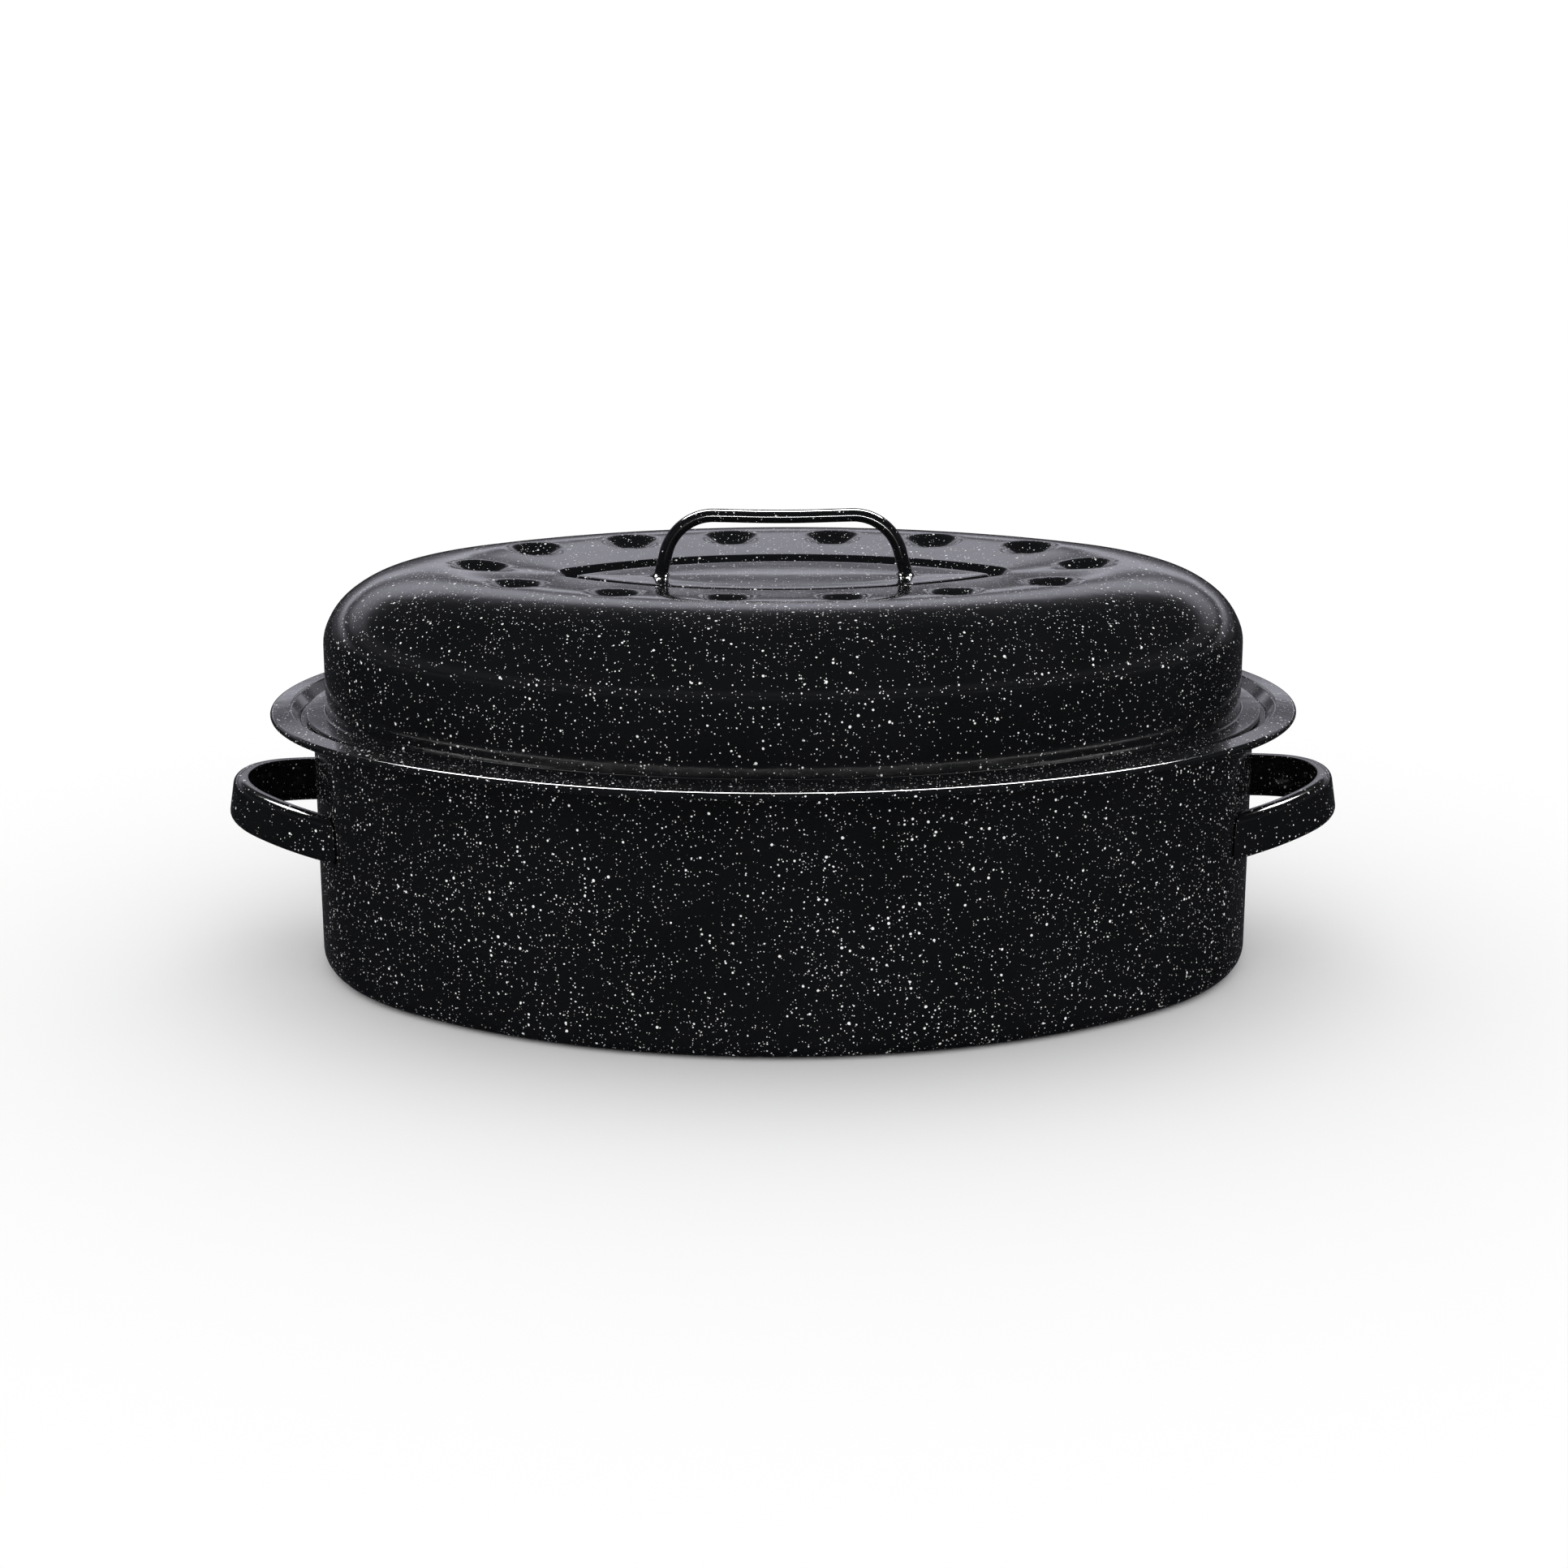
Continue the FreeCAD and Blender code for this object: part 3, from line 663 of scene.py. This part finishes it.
def make_feet(name, side, material):
    """Flat feet turned along the wall behind each leg, with rounded corners."""
    points, faces = [], []
    top = FOOT_BOTTOM + FOOT_HEIGHT
    outline = rounded([
        (FOOT_INNER + FOOT_CORNER * 2, FOOT_BOTTOM, 0),
        (FOOT_OUTER, FOOT_BOTTOM, FOOT_TRIM),
        (FOOT_OUTER, top, FOOT_TRIM),
        (FOOT_INNER, top, FOOT_CORNER),
        (FOOT_INNER, FOOT_BOTTOM, FOOT_CORNER),
        (FOOT_INNER + FOOT_CORNER * 2, FOOT_BOTTOM, 0),
    ])[:-1]
    centre = Vector(((FOOT_INNER + FOOT_OUTER) / 2, FOOT_BOTTOM + FOOT_HEIGHT / 2))
    for half in (-1, 1):
        start = len(points)
        for size, reach in FOOT_LEVELS:
            for spot in outline:
                flat = centre + (spot - centre) * size
                angle = math.asin(flat.x / wall_oval.end)
                x, y = wall_oval.point(angle, reach - WALL_LEAN * FOOT_LEAN)
                points.append((side * x, half * y, flat.y))
        faces += skin(len(outline), len(FOOT_LEVELS) - 1, start, outward=side * half > 0)
    return make_object(name, points, faces, material)


def make_spots(name, side, material):
    """Low domes of the four spot welds on the feet of one side handle."""
    points, faces = [], []
    for half in (-1, 1):
        angle = math.asin(SPOT_OFFSET / wall_oval.end)
        x, y = wall_oval.point(angle, STRAP_SHEET)
        outward = Vector((side * math.cos(angle), half * math.sin(angle), 0))
        across = Vector((-outward.y, outward.x, 0))
        for place in (-0.5, 0.5):
            height = FOOT_BOTTOM + FOOT_HEIGHT / 2 + place * SPOT_SPACING
            centre = Vector((side * x, half * y, height))
            start = len(points)
            for size, rise in SPOT_LEVELS:
                for step in range(SPOT_SIDES):
                    turn = 2 * math.pi * step / SPOT_SIDES
                    ring = across * math.cos(turn) + Vector((0, 0, 1)) * math.sin(turn)
                    points.append(centre + ring * SPOT_RADIUS * size
                                  + outward * (SPOT_PROUD * rise - SPOT_SUNK))
            faces += skin(SPOT_SIDES, len(SPOT_LEVELS) - 1, start)
    return make_object(name, points, faces, material)


# enamel

def node(tree, kind, **inputs):
    """Add a node and set its inputs; an input that is a socket is linked."""
    item = tree.nodes.new(kind)
    for name, setting in inputs.items():
        socket = item.inputs[int(name[2:])] if name.startswith("in") else item.inputs[name]
        if isinstance(setting, bpy.types.NodeSocket):
            tree.links.new(setting, socket)
        else:
            socket.default_value = setting
    return item


def maths(tree, operation, first, second=0.0, clamp=False):
    """Add a maths node and give its result socket."""
    item = node(tree, "ShaderNodeMath", in0=first, in1=second)
    item.operation = operation
    item.use_clamp = clamp
    return item.outputs[0]


def specks(tree, place, crowding, cell, radius, share):
    """Round flecks: at most one to a cell, in only a share of the cells, of mixed sizes."""
    cells = node(tree, "ShaderNodeTexVoronoi", Vector=place, Scale=1 / cell, Randomness=1.0)
    chance = node(tree, "ShaderNodeSeparateColor", Color=cells.outputs["Color"])
    lucky = maths(tree, "SUBTRACT", chance.outputs[0], 1 - share)
    lucky = maths(tree, "ADD", lucky, crowding)
    size = maths(tree, "DIVIDE", lucky, share, clamp=True)
    size = maths(tree, "MULTIPLY", size, radius / cell)
    depth = maths(tree, "SUBTRACT", size, cells.outputs["Distance"])
    return maths(tree, "MULTIPLY", depth, cell / FLECK_EDGE, clamp=True)


def make_enamel(name, density):
    """Black porcelain enamel with white flecks fired into it; density scales the flecks."""
    material = bpy.data.materials.new(name)
    material.use_nodes = True
    tree = material.node_tree
    shader = tree.nodes["Principled BSDF"]
    place = node(tree, "ShaderNodeTexCoord").outputs["Object"]
    wobble = node(tree, "ShaderNodeTexNoise", Vector=place, Scale=1 / FLECK_WAVER, Detail=1.0)
    offset = node(tree, "ShaderNodeVectorMath", in0=wobble.outputs["Color"], in1=(0.5, 0.5, 0.5))
    offset.operation = "SUBTRACT"
    scaled = node(tree, "ShaderNodeVectorMath", in0=offset.outputs[0])
    scaled.operation = "SCALE"
    scaled.inputs["Scale"].default_value = FLECK_SHIFT
    bent = node(tree, "ShaderNodeVectorMath", in0=place, in1=scaled.outputs[0]).outputs[0]
    drift = node(tree, "ShaderNodeTexNoise", Vector=place, Scale=1 / CROWDING_SIZE, Detail=2.0)
    crowding = maths(tree, "SUBTRACT", drift.outputs[0], 0.5)
    crowding = maths(tree, "MULTIPLY", crowding, CROWDING * density)
    large, middle, small = (specks(tree, bent, crowding, cell, radius, share * density)
                            for cell, radius, share in FLECK_SIZES)
    flecks = maths(tree, "MAXIMUM", maths(tree, "MAXIMUM", large, middle), small)
    cloud = node(tree, "ShaderNodeTexNoise", Vector=place, Scale=1 / CLOUD_SIZE, Detail=3.0)
    black = node(tree, "ShaderNodeMix", in0=cloud.outputs[0])
    black.data_type = "RGBA"
    black.inputs[6].default_value = BLACK
    black.inputs[7].default_value = BLUE_BLACK
    colour = node(tree, "ShaderNodeMix", in0=flecks)
    colour.data_type = "RGBA"
    colour.inputs[7].default_value = FLECK_WHITE
    tree.links.new(black.outputs[2], colour.inputs[6])
    tree.links.new(colour.outputs[2], shader.inputs["Base Color"])
    gloss = node(tree, "ShaderNodeTexNoise", Vector=place, Scale=1 / GLOSS_SIZE, Detail=3.0)
    rough = node(tree, "ShaderNodeMapRange", in0=gloss.outputs[0], in3=GLOSSY, in4=DULLER)
    tree.links.new(rough.outputs[0], shader.inputs["Roughness"])
    peel = node(tree, "ShaderNodeTexNoise", Vector=place, Scale=1 / PEEL_SIZE, Detail=1.5)
    relief = maths(tree, "MULTIPLY_ADD", flecks, FLECK_HEIGHT)
    tree.links.new(peel.outputs[0], relief.node.inputs[2])
    bump = node(tree, "ShaderNodeBump", Strength=PEEL_STRENGTH, Distance=PEEL_HEIGHT,
                Height=relief)
    tree.links.new(bump.outputs[0], shader.inputs["Normal"])
    shader.inputs["IOR"].default_value = GLASS_IOR
    return material


# studio

def make_world():
    """White backdrop, soft even light, and bright bands low behind for the gloss to show."""
    world = bpy.data.worlds.new("studio")
    bpy.context.scene.world = world
    world.use_nodes = True
    tree = world.node_tree
    background = tree.nodes["Background"]
    direction = node(tree, "ShaderNodeTexCoord").outputs["Generated"]
    parts = node(tree, "ShaderNodeSeparateXYZ", Vector=direction)
    band = node(tree, "ShaderNodeValToRGB", in0=parts.outputs[2])
    stops = band.color_ramp.elements
    stops[0].position, stops[0].color = 0.0, BELOW_BAND
    stops[1].position, stops[1].color = 1.0, ABOVE_BAND
    for position, level in BAND_LEVELS:
        stop = stops.new(position)
        stop.color = tuple(level * part for part in BAND_TINT) + (1,)
    behind = node(tree, "ShaderNodeMapRange", in0=parts.outputs[1], in1=BEHIND_START,
                  in2=BEHIND_FULL, in3=BEHIND_LEAST, in4=1.0)
    shown = node(tree, "ShaderNodeLightPath")
    glossy = node(tree, "ShaderNodeVectorMath", in0=band.outputs[0])
    glossy.operation = "SCALE"
    tree.links.new(behind.outputs[0], glossy.inputs["Scale"])
    mixed = node(tree, "ShaderNodeMix", in0=shown.outputs["Is Glossy Ray"])
    mixed.data_type = "RGBA"
    mixed.inputs[6].default_value = BACKDROP
    tree.links.new(glossy.outputs[0], mixed.inputs[7])
    tree.links.new(mixed.outputs[2], background.inputs["Color"])


def make_floor():
    """Pale floor that takes a soft shadow and stays out of the gloss."""
    mesh = bpy.data.meshes.new("floor")
    reach = FLOOR_REACH
    mesh.from_pydata([(-reach, -reach, 0), (reach, -reach, 0), (reach, reach, 0),
                      (-reach, reach, 0)], [], [(0, 1, 2, 3)])
    floor = bpy.data.objects.new("floor", mesh)
    bpy.context.scene.collection.objects.link(floor)
    material = bpy.data.materials.new("pale_floor")
    material.use_nodes = True
    shader = material.node_tree.nodes["Principled BSDF"]
    shader.inputs["Base Color"].default_value = FLOOR_WHITE
    shader.inputs["Roughness"].default_value = FLOOR_ROUGHNESS
    shader.inputs["Specular IOR Level"].default_value = 0.0
    mesh.materials.append(material)
    floor.visible_glossy = False


def make_light(name, place, aim, width, height, power, receivers):
    """Area light that only the gloss shows, on the receivers alone."""
    lamp = bpy.data.lights.new(name, "AREA")
    lamp.shape = "RECTANGLE"
    lamp.size, lamp.size_y = width, height
    lamp.energy = power
    light = bpy.data.objects.new(name, lamp)
    bpy.context.scene.collection.objects.link(light)
    light.location = place
    light.rotation_euler = (Vector(aim) - Vector(place)).to_track_quat("-Z", "Y").to_euler()
    light.visible_diffuse = False
    light.visible_camera = False
    group = bpy.data.collections.new(name + "_receivers")
    for piece in receivers:
        group.objects.link(piece)
    light.light_linking.receiver_collection = group


def make_camera():
    """Camera at the photo's height and turn, aimed at the middle of the object."""
    camera = bpy.data.objects.new("camera", bpy.data.cameras.new("camera"))
    bpy.context.scene.collection.objects.link(camera)
    camera.data.lens = LENS
    camera.data.sensor_width = SENSOR
    camera.data.clip_end = FAR_CLIP
    aim = Vector((AIM_ACROSS, 0, AIM_HEIGHT))
    flat = VIEW_DISTANCE * math.cos(VIEW_HEIGHT)
    place = aim + Vector((flat * math.sin(VIEW_TURN), -flat * math.cos(VIEW_TURN),
                          VIEW_DISTANCE * math.sin(VIEW_HEIGHT)))
    camera.location = place
    facing = (aim - place).to_track_quat("-Z", "Y")
    camera.rotation_euler = (facing @ Euler((0, 0, VIEW_ROLL)).to_quaternion()).to_euler()
    bpy.context.scene.camera = camera


def place_piece(piece, body, node_name):
    """Put a piece on its body, in place of a CAD node if it has one."""
    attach(piece, body)
    if node_name:
        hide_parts(node_name)
    return piece


enamel_pan = make_enamel("speckled_enamel_pan", PAN_DENSITY)
enamel_lid = make_enamel("speckled_enamel_lid", LID_DENSITY)
enamel_rod = make_enamel("speckled_enamel_rod", ROD_DENSITY)
enamel_strap = make_enamel("speckled_enamel_strap", STRAP_DENSITY)

pan = place_piece(make_pan(enamel_pan), "pan", "pan_shell")
lid = place_piece(make_lid(enamel_lid), "lid", "lid_shell")
rod = place_piece(make_rod(enamel_rod), "lid", "lid_handle")
beads = place_piece(make_rod_welds(enamel_rod), "lid", "lid_handle_welds")
small_pieces = [rod, beads]
for word, side in (("right", 1), ("left", -1)):
    strap = make_strap(word + "_strap", side, enamel_strap)
    place_piece(strap, "pan", word + "_handle")
    feet = place_piece(make_feet(word + "_strap_feet", side, enamel_strap), "pan", None)
    spots = make_spots(word + "_spot_welds", side, enamel_strap)
    place_piece(spots, "pan", word + "_handle_welds")
    small_pieces += [strap, feet, spots]

make_world()
make_floor()
make_light("top_strip", receivers=[pan] + small_pieces, **TOP_STRIP)
make_light("low_strip", receivers=small_pieces, **LOW_STRIP)
make_camera()
bpy.context.scene.view_settings.view_transform = "Standard"
